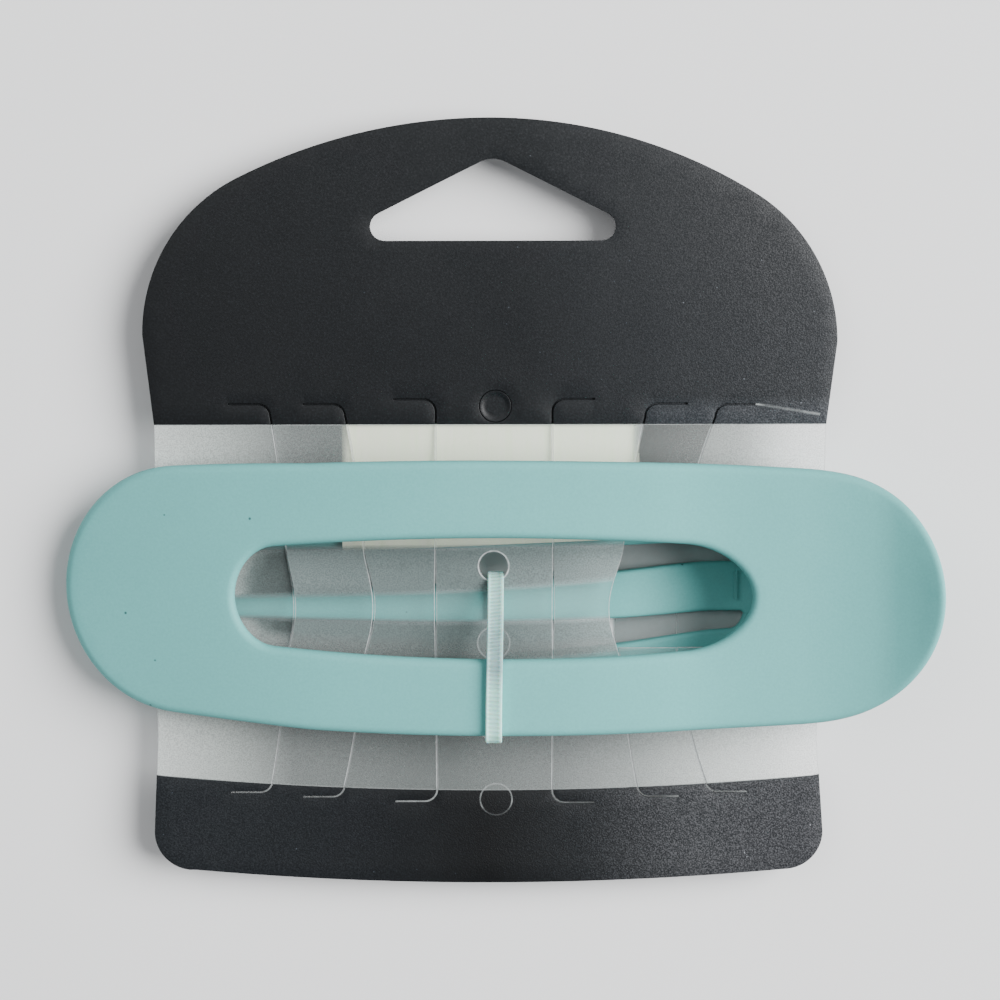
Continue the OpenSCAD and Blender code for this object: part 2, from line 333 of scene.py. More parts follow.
def new_object(name, bm, materials, angle=40):
    """The mesh as an object of the scene, shaded smooth up to the angle in degrees."""
    bmesh.ops.remove_doubles(bm, verts=bm.verts, dist=2e-6)
    bmesh.ops.recalc_face_normals(bm, faces=bm.faces)
    mesh = bpy.data.meshes.new(name)
    bm.to_mesh(mesh)
    bm.free()
    for polygon in mesh.polygons:
        polygon.use_smooth = True
    mesh.set_sharp_from_angle(angle=math.radians(angle))
    obj = bpy.data.objects.new(name, mesh)
    bpy.context.scene.collection.objects.link(obj)
    for material in materials:
        mesh.materials.append(material)
    return obj


def all_round(n):
    return [2 * math.pi * k / n for k in range(n)]


def circle(x, y, r, n=40):
    return [(x + r * math.cos(a), y + r * math.sin(a)) for a in all_round(n)]


def arc(x, y, r, a0, a1, n):
    """Points along a round stretch, with its angles in degrees."""
    turns = (math.radians(a0 + (a1 - a0) * i / n) for i in range(n + 1))
    return [(x + r * math.cos(a), y + r * math.sin(a)) for a in turns]


def box(x0, x1, y0, y1):
    return [(x0, y0), (x1, y0), (x1, y1), (x0, y1)]


def flat(z):
    return lambda x, y: z


def join_rings(bm, rings):
    """The faces between each closed ring of points and the next."""
    faces = []
    for a, b in zip(rings, rings[1:]):
        for i in range(len(a)):
            j = (i + 1) % len(a)
            faces.append(bm.faces.new((a[i], a[j], b[j], b[i])))
    return faces


def plate(bm, outer, holes, top, bottom, edge, spacing, steps=5, edge_index=0):
    """A plate between two height functions, whose edges are rounded by the radius edge."""
    loops = [(outer, 1)] + [(hole, -1) for hole in holes]

    def ring(loop, side, turn, upper):
        d = edge * (1 - math.sin(turn))
        fall = edge * (1 - math.cos(turn))
        made = []
        for x, y in shifted(loop, side * d):
            z = top(x, y) - fall if upper else bottom(x, y) + fall
            made.append(bm.verts.new((x * MM, y * MM, z * MM)))
        return made

    turns = [math.pi / 2 * k / steps for k in range(steps + 1)]
    for loop, side in loops:
        rings = [ring(loop, side, turn, True) for turn in turns]
        rings += [ring(loop, side, turn, False) for turn in turns[::-1]]
        for face in join_rings(bm, rings):
            face.material_index = edge_index
    verts, faces = fill([shifted(loop, side * edge) for loop, side in loops], spacing)
    for surface, flip in ((top, False), (bottom, True)):
        made = [bm.verts.new((x * MM, y * MM, surface(x, y) * MM)) for x, y in verts]
        for f in faces:
            corners = [made[i] for i in f]
            bm.faces.new(corners[::-1] if flip else corners)


def tube(bm, path, radius, sides):
    """A round wire along a list of points, with closed ends."""
    rings = []
    normal = None
    for i, p in enumerate(path):
        run = (path[min(i + 1, len(path) - 1)] - path[max(i - 1, 0)]).normalized()
        if normal is None:
            normal = run.orthogonal().normalized()
        normal = (normal - run * normal.dot(run)).normalized()
        across = run.cross(normal)
        rings.append([bm.verts.new((p + radius * (math.cos(a) * normal + math.sin(a) * across)) * MM)
                      for a in all_round(sides)])
    join_rings(bm, rings)
    bm.faces.new(rings[0][::-1])
    bm.faces.new(rings[-1])


def upright_plate(bm, outline, y0, y1, holes, edge):
    """A plate standing in the clip's side view, between y0 and y1."""
    piece = bmesh.new()
    plate(piece, outline, holes, flat(y1), flat(y0), edge, spacing=1.2, steps=3)
    turn = Matrix(((1, 0, 0, 0), (0, 0, 1, 0), (0, 1, 0, 0), (0, 0, 0, 1)))
    bmesh.ops.transform(piece, matrix=turn, verts=piece.verts)
    mesh = bpy.data.meshes.new("temporary")
    piece.to_mesh(mesh)
    piece.free()
    bm.from_mesh(mesh)
    bpy.data.meshes.remove(mesh)


# Materials

# The stretches, in metres, over which the tones of the card and the tie change
CARD_TONES_X = (-0.046, 0.043)
FOOTER_TONES_Y = (-0.031, -0.030)
TOP_TONES_Y = (0.02, 0.049)
TONGUES_X = (0.0184, 0.0190)
TONGUES_Y = (0.0, 0.028)
TIE_TONES_Y = (-0.029, -0.007)

# How deep, in millimetres, the film lies on something before it looks clear, and its alpha there
CONTACT_FADE = 0.9
CONTACT_ALPHA = 0.1


class Nodes:
    """Short calls for building one material's nodes."""

    def __init__(self, name, **values):
        self.material = bpy.data.materials.new(name)
        self.material.use_nodes = True
        self.tree = self.material.node_tree
        self.tree.nodes.clear()
        out = self.add("ShaderNodeOutputMaterial")
        self.coords = self.add("ShaderNodeTexCoord")
        self.shader = self.add("ShaderNodeBsdfPrincipled", **values)
        self.link(self.shader.outputs[0], out.inputs[0])

    def add(self, kind, **values):
        """A new node. Names that start with a capital are its inputs, and others its settings."""
        made = self.tree.nodes.new(kind)
        for key, value in values.items():
            if key[0].isupper():
                made.inputs[key.replace("_", " ")].default_value = value
            else:
                setattr(made, key, value)
        return made

    def link(self, a, b):
        self.tree.links.new(a, b)

    def drive(self, name, value):
        """The value, linked to the shader's input of that name."""
        self.link(value, self.shader.inputs[name])

    def noise(self, scale, detail=2.0, roughness=0.5, stretch=None):
        made = self.add("ShaderNodeTexNoise", Scale=scale, Detail=detail, Roughness=roughness)
        source = self.coords.outputs["Object"]
        if stretch:
            mapping = self.add("ShaderNodeMapping", Scale=stretch)
            self.link(source, mapping.inputs[0])
            source = mapping.outputs[0]
        self.link(source, made.inputs[0])
        return made.outputs["Fac"]

    def specks(self, scale, full, edge, colour):
        """Round specks of one colour, one to a cell, on white. Their sizes are shares of a cell."""
        cells = self.add("ShaderNodeTexVoronoi", Scale=scale)
        self.link(self.coords.outputs["Object"], cells.inputs["Vector"])
        return self.ramp(cells.outputs["Distance"], [(0, colour), (full, colour), (edge, 1)])

    def attribute(self, name):
        """The number that each point of the mesh has under that name."""
        return self.add("ShaderNodeAttribute", attribute_name=name).outputs["Fac"]

    def ramp(self, value, stops):
        """A colour ramp through (place, colour) stops, where a plain number stands for a grey."""
        made = self.add("ShaderNodeValToRGB")
        ramp = made.color_ramp
        while len(ramp.elements) < len(stops):
            ramp.elements.new(0.5)
        for element, (place, colour) in zip(ramp.elements, stops):
            element.position = place
            element.color = (*colour, 1) if isinstance(colour, tuple) else (colour, colour, colour, 1)
        self.link(value, made.inputs[0])
        return made.outputs[0]

    def span(self, value, low, high, at_low=0.0, at_high=1.0):
        """The value carried over to low..high from at_low..at_high, and held beyond both."""
        made = self.add("ShaderNodeMapRange", From_Min=at_low, From_Max=at_high, To_Min=low, To_Max=high)
        self.link(value, made.inputs[0])
        return made.outputs[0]

    def place(self):
        """Where on the object a point is, in metres, as sockets X, Y and Z."""
        made = self.add("ShaderNodeSeparateXYZ")
        self.link(self.coords.outputs["Object"], made.inputs[0])
        return made.outputs

    def mix(self, factor, a, b, blend_type="MIX"):
        made = self.add("ShaderNodeMix", data_type="RGBA", blend_type=blend_type, Factor=1)
        if factor:
            self.link(factor, made.inputs["Factor"])
        self.link(a, made.inputs["A"])
        self.link(b, made.inputs["B"])
        return made.outputs["Result"]

    def multiply(self, a, b):
        return self.mix(None, a, b, "MULTIPLY")

    def bump(self, height, strength, distance, below=None):
        made = self.add("ShaderNodeBump", Strength=strength, Distance=distance)
        self.link(height, made.inputs["Height"])
        if below:
            self.link(below, made.inputs["Normal"])
        self.drive("Normal", made.outputs[0])
        return made.outputs[0]


def shade(colour, k):
    return tuple(min(1.0, c * k) for c in colour)


def jaw_plastic():
    """Soft-touch teal plastic with painted shade at the tip and along the thumb tail, a painted
    highlight on the tail's end, and a few specks of dirt.
    """
    m = Nodes("jaw_soft_touch", Roughness=0.55, Specular_IOR_Level=0.12)
    teal = (0.153, 0.462, 0.449)
    broad = m.noise(38, 3)
    mottled = m.ramp(broad, [(0.35, shade(teal, 0.97)), (0.65, shade(teal, 1.03))])
    grain = m.ramp(m.noise(3000, 2, 0.6), [(0.3, 0.95), (0.7, 1.03)])
    # Painted shade: darker at the tip and along the thumb tail, where they slope away from the light,
    # and a painted highlight on the tail's end.
    along_clip = m.span(m.place()["X"], 0, 1, -HALF_LEN * MM, HALF_LEN * MM)
    painted_end_shade = m.ramp(along_clip, [(0.0, 0.98), (0.3, 1), (0.72, 0.98), (0.84, 0.92), (0.91, 0.78),
                                  (0.95, 0.76), (1.0, 1.04)])
    dirt = m.specks(170, full=0.022, edge=0.034, colour=0.3)
    colour = m.multiply(m.multiply(mottled, grain), m.multiply(painted_end_shade, dirt))
    m.drive("Base Color", colour)
    fine = m.bump(m.noise(5200, 2, 0.6), 0.18, 0.00005)
    m.bump(m.noise(160), 0.12, 0.0003, fine)
    return m.material


def card_print():
    """Black print with painted sheen that greys it towards the right, most on the footer, which is also
    darker near its middle; lighter towards the header's top, with another grain towards the right and on
    the footer, and dusty.
    """
    m = Nodes("card_print", Specular_IOR_Level=0.3)
    grain = m.noise(3800, 3, 0.7)
    leather = m.noise(5200, 2, 0.6)
    place = m.place()
    across = m.span(place["X"], 0, 1, *CARD_TONES_X)
    # Painted sheen: the print is painted lighter towards the right, where the lamp's reflection falls,
    # and the footer more so, darker near its middle.
    painted_sheen = m.ramp(across, [(0.0, (0.45, 0.5, 0.55)), (0.55, (0.75, 0.8, 0.85)), (1.0, (2.8, 2.8, 2.9))])
    foot = m.ramp(across, [(0.0, (1.5, 1.6, 1.7)), (0.3, (0.9, 1.0, 1.1)), (0.5, (0.15, 0.2, 0.25)),
                           (0.63, (0.9, 1.0, 1.1)), (0.8, (4.6, 4.5, 4.6)), (1.0, (4.2, 4.1, 4.3))])
    footer = m.span(place["Y"], 1, 0, *FOOTER_TONES_Y)
    top = m.ramp(m.span(place["Y"], 0, 1, *TOP_TONES_Y), [(0, 1), (1, (1.6, 1.5, 1.4))])
    painted_sheen = m.mix(footer, m.multiply(painted_sheen, top), foot)
    worn = m.mix(footer, m.ramp(across, [(0.55, 0), (0.9, 0.7)]),
                 m.ramp(across, [(0.4, 0.5), (0.7, 1)]))
    # The tongues inside the header's hooks are lighter towards the right.
    right = m.span(place["X"], 0, 1, *TONGUES_X)
    tongues = m.ramp(m.span(place["Y"], 0, 1, *TONGUES_Y),
                     [(0, 0), (0.3, 0), (0.31, 1), (0.43, 1), (0.5, 0)])
    lighter_tongues = m.ramp(m.multiply(right, tongues), [(0, 1), (1, 1.9)])
    colour = m.ramp(grain, [(0.33, (0.0016, 0.0024, 0.0032)), (0.55, (0.0062, 0.0076, 0.0090)),
                            (0.72, (0.016, 0.017, 0.019))])
    rough = m.ramp(leather, [(0.36, (0.002, 0.0025, 0.003)), (0.5, (0.0068, 0.0073, 0.0078)),
                             (0.66, (0.018, 0.019, 0.020))])
    colour = m.mix(worn, colour, rough)
    dust = m.specks(420, full=0.028, edge=0.045, colour=5)
    colour = m.multiply(m.multiply(colour, painted_sheen), m.multiply(lighter_tongues, dust))
    m.drive("Base Color", colour)
    m.drive("Roughness", m.span(m.noise(90, 4, 0.6), 0.38, 0.5))
    fine = m.bump(m.mix(worn, m.span(grain, 0.35, 0.65), leather), 0.8, 0.00008)
    m.bump(m.noise(55), 0.2, 0.0008, fine)
    return m.material


def card_film():
    """Frosted film: clear where it lies on something, and milky over open space, with painted light:
    lighter towards the card's sides and darker in its middle, where the card and clip shade the floor,
    painted shade on some strips, and a painted teal bounce between the jaws.
    """
    m = Nodes("card_film", Specular_IOR_Level=0.5)
    across = m.span(m.place()["X"], 0, 1, *CARD_TONES_X)
    # Painted light: lighter towards both sides, where light gets under the card, and darker in the
    # middle, where the card and clip shade the floor.
    painted_light_across = m.ramp(across, [(0.0, (0.70, 0.74, 0.72)), (0.12, (0.46, 0.50, 0.48)),
                           (0.22, (0.20, 0.22, 0.215)), (0.45, (0.155, 0.175, 0.17)),
                           (0.6, (0.23, 0.25, 0.245)), (0.72, (0.40, 0.43, 0.42)),
                           (0.86, (0.80, 0.84, 0.82)), (1.0, 1)])
    cloud = m.ramp(m.noise(60, 3), [(0.3, 0.92), (0.7, 1)])
    # Painted shade on strips turned from the light or lying in the slot's shade.
    painted_strip_shade = m.ramp(m.attribute("turned"), [(0, 1), (1, 0.28)])
    frost = m.ramp(m.noise(6000, 2, 0.6), [(0.36, 0.78), (0.62, 1.22)])
    clear = m.span(m.attribute("contact"), 0, 1, 0.0, CONTACT_FADE)
    haze = m.ramp(frost, [(0.7, (0.14, 0.18, 0.18)), (1, (0.34, 0.4, 0.4))])
    haze = m.multiply(haze, m.ramp(across, [(0.3, 0.7), (0.68, 1.7)]))
    between = m.attribute("between")
    # Painted teal bounce: between the jaws the film takes light thrown off the teal plastic.
    painted_teal_bounce = m.ramp(between, [(0, 1), (1, (0.86, 0.98, 0.99))])
    milky = m.multiply(m.multiply(painted_light_across, cloud), m.multiply(m.multiply(painted_strip_shade, painted_teal_bounce), frost))
    m.drive("Base Color", m.mix(clear, milky, haze))
    cloudy = m.noise(1500, 3, 0.6)
    dense = m.mix(between, m.span(cloudy, 0.5, 0.66), m.span(cloudy, 0.76, 0.88))
    alpha = m.add("ShaderNodeMix", data_type="FLOAT", B=CONTACT_ALPHA)
    m.link(clear, alpha.inputs["Factor"])
    m.link(dense, alpha.inputs["A"])
    m.drive("Alpha", alpha.outputs["Result"])
    sparkle = m.noise(3400, 2, 0.7)
    m.drive("Roughness", m.span(sparkle, 0.28, 0.5))
    m.bump(sparkle, 0.5, 0.00006)
    return m.material


def slit_edge():
    """The pale cut edges of the film."""
    m = Nodes("slit_edge", Roughness=0.4, Base_Color=(0.62, 0.65, 0.65, 1))
    grain = m.noise(1800)
    m.drive("Alpha", m.span(grain, 0.15, 0.75))
    m.bump(grain, 0.2, 0.00004)
    return m.material


def whitened():
    """Stress-whitened plastic along a cut or crease, strongest on its middle line."""
    m = Nodes("whitened_plastic", Roughness=0.5, Base_Color=(0.7, 0.74, 0.74, 1))
    grain = m.noise(1400, 3, 0.6)
    patchy = m.ramp(m.span(grain, 0, 1, 0.3, 0.7), [(0, 0.35), (1, 1)])
    m.drive("Alpha", m.multiply(patchy, m.attribute("whitened")))
    m.bump(grain, 0.2, 0.00004)
    return m.material


def label_paper():
    """Cream paper, seen a little striped along its height."""
    m = Nodes("label_paper", Roughness=0.75, Specular_IOR_Level=0.25)
    fibre = m.noise(1, 4, 0.65, (1800, 150, 1000))
    colour = m.ramp(fibre, [(0.3, (0.93, 1.0, 0.75)), (0.7, (1.0, 1.0, 0.84))])
    m.drive("Base Color", colour)
    m.bump(fibre, 0.25, 0.00005)
    return m.material


def tie_nylon():
    """Natural nylon, which shows some of what lies behind it, more so at its rims, with painted shade
    where the shaded slot lies behind it, painted teal light over the rail, and a painted highlight on
    its rims.
    """
    m = Nodes("tie_nylon", Roughness=0.35, Specular_IOR_Level=0.5, Subsurface_Weight=0.35,
              Subsurface_Scale=0.001)
    cloud = m.noise(700)
    colour = m.ramp(cloud, [(0.3, (0.42, 0.72, 0.66)), (0.7, (0.54, 0.84, 0.78))])
    # Painted shade and light along the tie: lighter and greener over the lit teal rail, darker where the
    # shaded slot lies behind it.
    along_tie = m.span(m.place()["Y"], 0, 1, *TIE_TONES_Y)
    painted_shade_behind = m.ramp(along_tie, [(0.0, (1.1, 1.19, 1.16)), (0.3, (1.06, 1.12, 1.1)),
                                (0.42, (0.72, 0.68, 0.74)), (0.62, (0.75, 0.7, 0.75)),
                                (0.75, (0.9, 0.92, 0.93)), (1.0, 1)])
    # Painted highlight: the rims are painted lighter.
    rim = m.attribute("rim")
    rim_highlight = m.ramp(rim, [(0, (0.88, 0.9, 0.9)), (1, (1.1, 1.18, 1.16))])
    colour = m.multiply(colour, m.multiply(painted_shade_behind, rim_highlight))
    m.drive("Alpha", m.span(rim, 0.78, 0.95))
    m.drive("Base Color", colour)
    m.bump(m.noise(2200), 0.15, 0.00005)
    return m.material


def steel():
    """Bright steel, lightly brushed, for the spring and the pin."""
    m = Nodes("spring_steel", Metallic=1.0)
    brushed = m.noise(900, 3, 0.6)
    colour = m.ramp(brushed, [(0.3, (0.5, 0.5, 0.52)), (0.7, (0.66, 0.66, 0.67))])
    m.drive("Base Color", colour)
    m.drive("Roughness", m.span(brushed, 0.24, 0.4))
    return m.material


def floor_white():
    m = Nodes("floor", Roughness=0.85, Specular_IOR_Level=0.2)
    colour = m.ramp(m.noise(6), [(0.3, (0.86, 0.865, 0.87)), (0.7, (0.88, 0.885, 0.89))])
    m.drive("Base Color", colour)
    return m.material


TEAL = jaw_plastic()
PRINT = card_print()
FILM = card_film()
SLIT_EDGE = slit_edge()
WHITENED = whitened()
PAPER = label_paper()
NYLON = tie_nylon()
STEEL = steel()


# Camera, lights and floor

def place_camera():
    """The photo's view, almost straight down. Its focal length is in pixels of the photo."""
    distance = 340.0
    tilt = math.radians(84)
    focus = Vector((0.14, 0.2, 0.0))
    picture_px = 1000
    focal_px = 2630.0
    roll = math.radians(0.1)
    back = Vector((0, math.cos(tilt), math.sin(tilt)))
    up = Vector((0, math.sin(tilt), -math.cos(tilt)))
    turn = Matrix((Vector((1, 0, 0)), up, back)).transposed() @ Matrix.Rotation(-roll, 3, "Z")
    camera = bpy.data.cameras.new("camera")
    camera.sensor_width = 36
    camera.lens = camera.sensor_width * focal_px / picture_px
    camera.clip_start = 0.01
    camera.clip_end = 20
    obj = bpy.data.objects.new("camera", camera)
    obj.matrix_world = Matrix.Translation((focus + distance * back) * MM) @ turn.to_4x4()
    bpy.context.scene.collection.objects.link(obj)
    bpy.context.scene.camera = obj


def area_light(name, place, size, power):
    """A round soft light, in metres and watts, turned to the origin."""
    light = bpy.data.lights.new(name, "AREA")
    light.shape = "DISK"
    light.size = size
    light.energy = power
    obj = bpy.data.objects.new(name, light)
    obj.location = place
    obj.rotation_euler = Vector(place).to_track_quat("Z", "Y").to_euler()
    bpy.context.scene.collection.objects.link(obj)


def light_room():
    world = bpy.data.worlds.new("room")
    world.use_nodes = True
    background = world.node_tree.nodes["Background"]
    background.inputs["Color"].default_value = (0.95, 0.97, 1.0, 1)
    background.inputs["Strength"].default_value = 0.28
    bpy.context.scene.world = world
    area_light("key", (0.95, 0.25, 0.85), size=1.1, power=46)
    area_light("fill", (-0.5, 0.5, 1.0), size=0.9, power=3.5)


def lay_floor():
    half = 3.0
    bm = bmesh.new()
    bm.faces.new([bm.verts.new((x, y, 0)) for x, y in box(-half, half, -half, half)])
    floor = new_object("floor", bm, [floor_white()])


place_camera()
light_room()
lay_floor()


# The jaws

def lug_outline(foot_z):
    """Round at the pin and square at the foot, anticlockwise in the side view."""
    x, z = PIVOT.x, PIVOT.z
    sign = 1 if foot_z > z else -1
    outline = arc(x, z, LUG_R, 0, -180 * sign, 24)
    outline += [(x - LUG_R, foot_z), (x + LUG_R, foot_z)]
    return resample(outline if sign < 0 else outline[::-1], 0.35)


def add_lugs(bm, side_y, foot_z):
    """Two lugs round the pin, whose inner faces are side_y away from the clip's middle."""
    hole = circle(PIVOT.x, PIVOT.z, LUG_HOLE_R, 32)
    for side in (-1, 1):
        y0, y1 = sorted((CLIP_Y + side * side_y, CLIP_Y + side * (side_y + LUG_T)))
        upright_plate(bm, lug_outline(foot_z), y0, y1, [hole], edge=0.2)


def make_upper_jaw():
    bm = bmesh.new()
    outer = resample(oval_loop(JAW, UPPER_LEAN), 0.8)
    slot = resample(oval_loop(SLOT), 0.8)
    plate(bm, outer, [slot], arch_z, lambda x, y: arch_z(x, y) - JAW_T, edge=1.0, spacing=1.1, steps=6)
    add_lugs(bm, UPPER_LUG_Y, FLAT_Z - JAW_T / 2)
    jaw = new_object("upper_jaw_shell", bm, [TEAL], angle=60)
    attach(jaw, "upper")
    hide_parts("upper_jaw")


def bar_half(x):
    t = min(1.0, max(0.0, (x + HALF_LEN) / (BAR_REAR_X + HALF_LEN)))
    return (BAR_TIP_W + (BAR_REAR_W - BAR_TIP_W) * t) / 2


def window_loop(side):
    """One of the two windows beside the bar, anticlockwise."""
    xs = np.linspace(WINDOW["x0"], WINDOW["x1"], 400)
    rows = [(x, half_width(x, WINDOW), bar_half(x), CLIP_Y + lean_at(x, LOWER_LEAN)) for x in xs]
    rows = [row for row in rows if row[1] > row[2] + 0.05]
    loop = [(x, mid + side * inner) for x, outer, inner, mid in rows]
    loop += [(x, mid + side * outer) for x, outer, inner, mid in reversed(rows)]
    return resample(loop if side > 0 else loop[::-1], 0.7)


def make_lower_jaw():
    bm = bmesh.new()
    outer = resample(oval_loop(LOWER, LOWER_LEAN), 0.8)
    windows = [window_loop(side) for side in (-1, 1)]
    plate(bm, outer, windows, lower_top_z, lower_bottom_z, edge=0.55, spacing=1.1)
    add_lugs(bm, LOWER_LUG_Y, TAIL_T / 2)
    rib = resample(box(RIB_X0, RIB_X1, TAIL_T - 0.3, TAIL_T + 0.8), 0.2, keep=45)
    upright_plate(bm, rib, CLIP_Y - 1.6, CLIP_Y + 2.1, [], edge=0.08)
    jaw = new_object("lower_jaw_shell", bm, [TEAL], angle=60)
    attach(jaw, "lower")
    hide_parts("lower_jaw")


# The hinge's spring and pin

def make_spring():
    """A wound wire with a straight leg to each tail."""
    turns = 5.5
    half = 2.4
    start = math.radians(-90)
    leg_steps = 8
    lower_tip = Vector((38.8, CLIP_Y - half, TAIL_T + WIRE_R + 0.1))
    upper_tip = Vector((44.5, CLIP_Y + half, FLAT_Z - JAW_T - WIRE_R - 0.25))
    steps = int(turns * 24)
    coil = []
    for i in range(steps + 1):
        t = i / steps
        a = start - 2 * math.pi * turns * t
        coil.append(PIVOT + Vector((COIL_R * math.cos(a), half * (2 * t - 1), COIL_R * math.sin(a))))
    path = [lower_tip.lerp(coil[0], k / leg_steps) for k in range(leg_steps)] + coil
    path += [coil[-1].lerp(upper_tip, k / leg_steps) for k in range(1, leg_steps + 1)]
    bm = bmesh.new()
    tube(bm, path, WIRE_R, 10)
    spring = new_object("spring_wire", bm, [STEEL])
    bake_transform(spring)
    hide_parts("torsion_spring")


def finish_pin():
    """The pin stays as in the model, with the scene's steel."""
    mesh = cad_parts["hinge_pin"].data
    mesh.materials.clear()
    mesh.materials.append(STEEL)


# The card

def card_side(y, waist_in, foot_in):
    """Half of the card's width beside the window."""
    top = (HEADER_Y, CARD_HALF - NECK_IN)
    low = (WAIST_Y, CARD_HALF - waist_in)
    foot = (FOOT_TURN_Y, CARD_HALF - foot_in)
    a, b = (low, top) if y > low[0] else (foot, low)
    return a[1] + (b[1] - a[1]) * (y - a[0]) / (b[0] - a[0])


def footer_line(x):
    return FOOTER_Y - FOOTER_BOW * (1 - ((x - FILM_X) / CARD_HALF) ** 2)


def bend(y):
    """1 at the middle of the slits' bends, and nothing beyond their reach."""
    t = np.clip(np.abs(y - BEND_Y) / BEND_REACH, 0, 1)
    return (1 - t * t) ** 2


def slit_x(index, y):
    top_x, bow_x, foot_x, top_y, foot_y, _ = SLITS[index]
    t = (2 * y - top_y - foot_y) / (top_y - foot_y - 2 * HOOK_R)
    shift, back = BENDS[index]
    bow_x += shift
    bowed = bow_x + ((top_x + foot_x) / 2 - bow_x) * t * t + (top_x - foot_x) / 2 * t
    return bowed + back * bend(y)


def mirrored(points):
    return [(-x, y) for x, y in points]


def on_card(points):
    return [(FILM_X + x, y) for x, y in points]


def line(a, b, step=0.8):
    """Points from a towards b, without b itself."""
    n = max(1, int(math.hypot(b[0] - a[0], b[1] - a[1]) / step))
    return [(a[0] + (b[0] - a[0]) * i / n, a[1] + (b[1] - a[1]) * i / n) for i in range(n)]


def slit_end(index, height, upper):
    """One slit's middle line, from the print line round its hook to the hook's end."""
    top_x, _, foot_x, top_y, foot_y, side = SLITS[index]
    x0, tip_y, sign = (top_x, top_y, 1) if upper else (foot_x, foot_y, -1)
    y0 = height(x0)
    for _ in range(5):
        y0 = height(slit_x(index, y0))
    turn_y = tip_y - sign * HOOK_R
    centre = x0 + side * HOOK_R
    tip = (centre + side * HOOK_LEN, tip_y)
    first = 180 if side > 0 else 0
    last = 270 if side > 0 and not upper else 90 * sign
    curve = arc(centre, turn_y, HOOK_R, first, last, 8)
    if sign * (turn_y - y0) > 0.05:
        path = [(slit_x(index, y), y) for y in np.linspace(y0, turn_y, 4)[:-1]] + curve
    else:
        path = [(slit_x(index, y0), y0)] + [q for q in curve if sign * (q[1] - y0) > 0.05]
    return path + line(path[-1], tip, 0.5)[1:] + [tip]


def slit_line(start, end, order, height, upper):
    """The print line from start to end, with every slit that crosses it."""
    points = []
    at = start
    for index in order:
        path = slit_end(index, height, upper)
        half = SLIT_SHOWN_W / 2
        notch = shifted(path, half, closed=False) + shifted(path, -half, closed=False)[::-1]
        points += [(x, height(x)) for x, _ in line(at, notch[0])] + notch
        at = notch[-1]
    return points + [(x, height(x)) for x, _ in line(at, end)]


def header_line(x):
    return HEADER_Y


def header_outline():
    neck = (CARD_HALF - NECK_IN, HEADER_Y)

    def side(top_r):
        turn = math.asin((CARD_HALF - SHOULDER_R) / (top_r - SHOULDER_R))
        shoulder_y = CARD_H / 2 - top_r + (top_r - SHOULDER_R) * math.cos(turn)
        points = arc(0, CARD_H / 2 - top_r, top_r, 90, 90 - math.degrees(turn), 60)[:-1]
        points += arc(CARD_HALF - SHOULDER_R, shoulder_y, SHOULDER_R, 90 - math.degrees(turn), 0, 30)
        return points + line(points[-1], neck)[1:]

    right = on_card([neck])[0]
    left = on_card(mirrored([neck]))[0]
    points = slit_line(left, right, range(len(SLITS)), header_line, True)
    points += [right] + on_card(side(RIGHT_TOP_R)[::-1])
    return points + on_card(mirrored(side(LEFT_TOP_R)))[1:]


def footer_outline():
    def side(waist_in, foot_in):
        ys = np.linspace(FOOTER_Y, FOOT_TURN_Y, 10)[:-1]
        points = [(card_side(y, waist_in, foot_in), y) for y in ys]
        points += arc(CARD_HALF - foot_in - FOOT_R, FOOT_TURN_Y, FOOT_R, 0, -84, 14)
        return points + arc(0, BOTTOM_R - CARD_H / 2, BOTTOM_R, -84.8, -90, 50)
    right = side(*RIGHT_IN)
    left = side(*LEFT_IN)
    points = on_card(mirrored(left)) + on_card(right[::-1])[1:]
    order = reversed(range(len(SLITS)))
    return points + slit_line(points[-1], points[0], order, footer_line, False)[1:]


def hang_hole():
    apex, apex_r = (0, 40.35), 3.5
    corner, corner_r = (13.7, 35.4), 1.8
    run = (corner[0] - apex[0], corner[1] - apex[1])
    turn = math.degrees(math.atan2(run[1], run[0]) + math.acos((apex_r - corner_r) / math.hypot(*run)))
    right = arc(*apex, apex_r, 90, turn, 12) + arc(*corner, corner_r, turn, -90, 16)
    loop = right + mirrored(right)[::-1]
    return resample([(CARD_MID_X + x, y) for x, y in loop][::-1], 0.5)


def make_print():
    """The two printed ends of the card."""
    header_holes = [hang_hole(), circle(MARK_X, HEADER_MARK_Y, MARK_R + 0.08, 64)]
    sheets = (("header", header_outline(), header_holes), ("footer", footer_outline(), []))
    for name, outline, holes in sheets:
        bm = bmesh.new()
        plate(bm, outline, holes, flat(CARD_TOP), flat(FILM_Z), edge=0.05, spacing=2.0, steps=3)
        sheet = new_object("card_sheet_" + name, bm, [PRINT], angle=50)
        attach(sheet, "upper")
        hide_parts("card_" + name)


# How far each strip bulges up or sags, from the left edge of the card to the right
BULGES = [0.45, 1.05, 1.15, 1.25, 1.2, -0.8, -1.0]
MIDDLE_STRIP = 3

# Shares of painted shade: on a strip turned away from the light, on the last strip's upper part, and in
# the slot, where the clip shades the first strip and the others' lower parts
TURNED_AWAY = 0.95
LAST_DIMMED = 0.54
FIRST_SLOT_SHADE = 0.96
LOWER_SLOT_SHADE = 0.16

# The depth of contact of the film behind the lower jaw
HALF_CONTACT = 0.4

# The film looks wholly between the jaws this far inside the slot
SLOT_FADE = 1.5

# The film's faces lie this far inside the CAD sheet's, clear of the print
FILM_INSET = 0.03


def strip_height(bulge):
    """The height of a strip's underside: flat at its ends, and bulged most at the clip's middle."""
    def height(x, y):
        room = (HEADER_Y - CLIP_Y) if y > CLIP_Y else (CLIP_Y - FOOTER_Y)
        t = min(1.0, abs(y - CLIP_Y) / room)
        z = FILM_Z + bulge * (0.5 + 0.5 * math.cos(math.pi * t))
        if x > GAP_X0 and bulge < 0:
            z = FILM_Z + (z - FILM_Z) * smooth((GAP_X1 + 3 - x) / 6)
        return z
    return height


